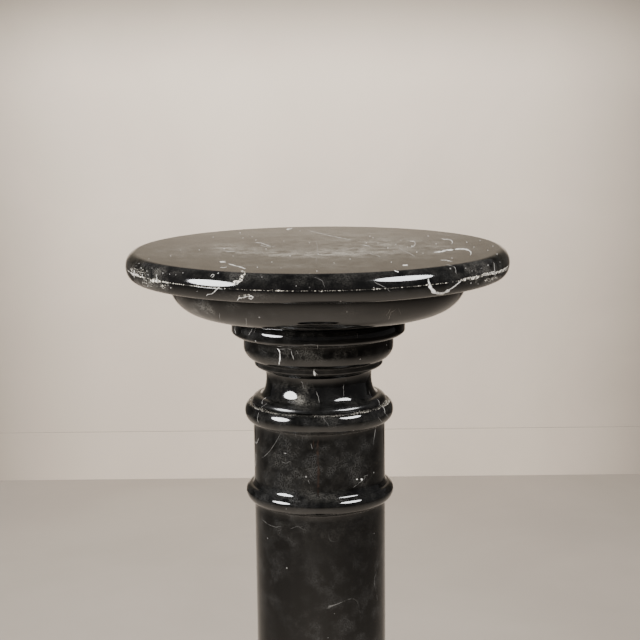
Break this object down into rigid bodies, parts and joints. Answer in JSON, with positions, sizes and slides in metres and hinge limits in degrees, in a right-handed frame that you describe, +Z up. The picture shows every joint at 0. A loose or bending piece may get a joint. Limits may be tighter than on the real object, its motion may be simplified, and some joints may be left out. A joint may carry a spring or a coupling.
{
  "type": "marble column pedestal",
  "caption": "Free-standing round pedestal in polished black marble: a round top slab on turned mouldings, a waisted neck, a ringed cylindrical shaft and a round moulded base",
  "frame": {"origin": "centre of the underside of the plinth, on the floor", "axes": "+Z up the shaft, -Y towards the front seen in the picture, +X to the right of the front"},
  "size_m": [0.3, 0.3, 1],
  "materials": {
    "black_marble": "polished, near-black with fine white veins and grey clouds"
  },
  "bodies": {
    "root": {"plinth": "black_marble", "base": "black_marble", "shaft": "black_marble", "capital": "black_marble", "bed_moulding": "black_marble", "top_slab": "black_marble"}
  },
  "joints": []
}
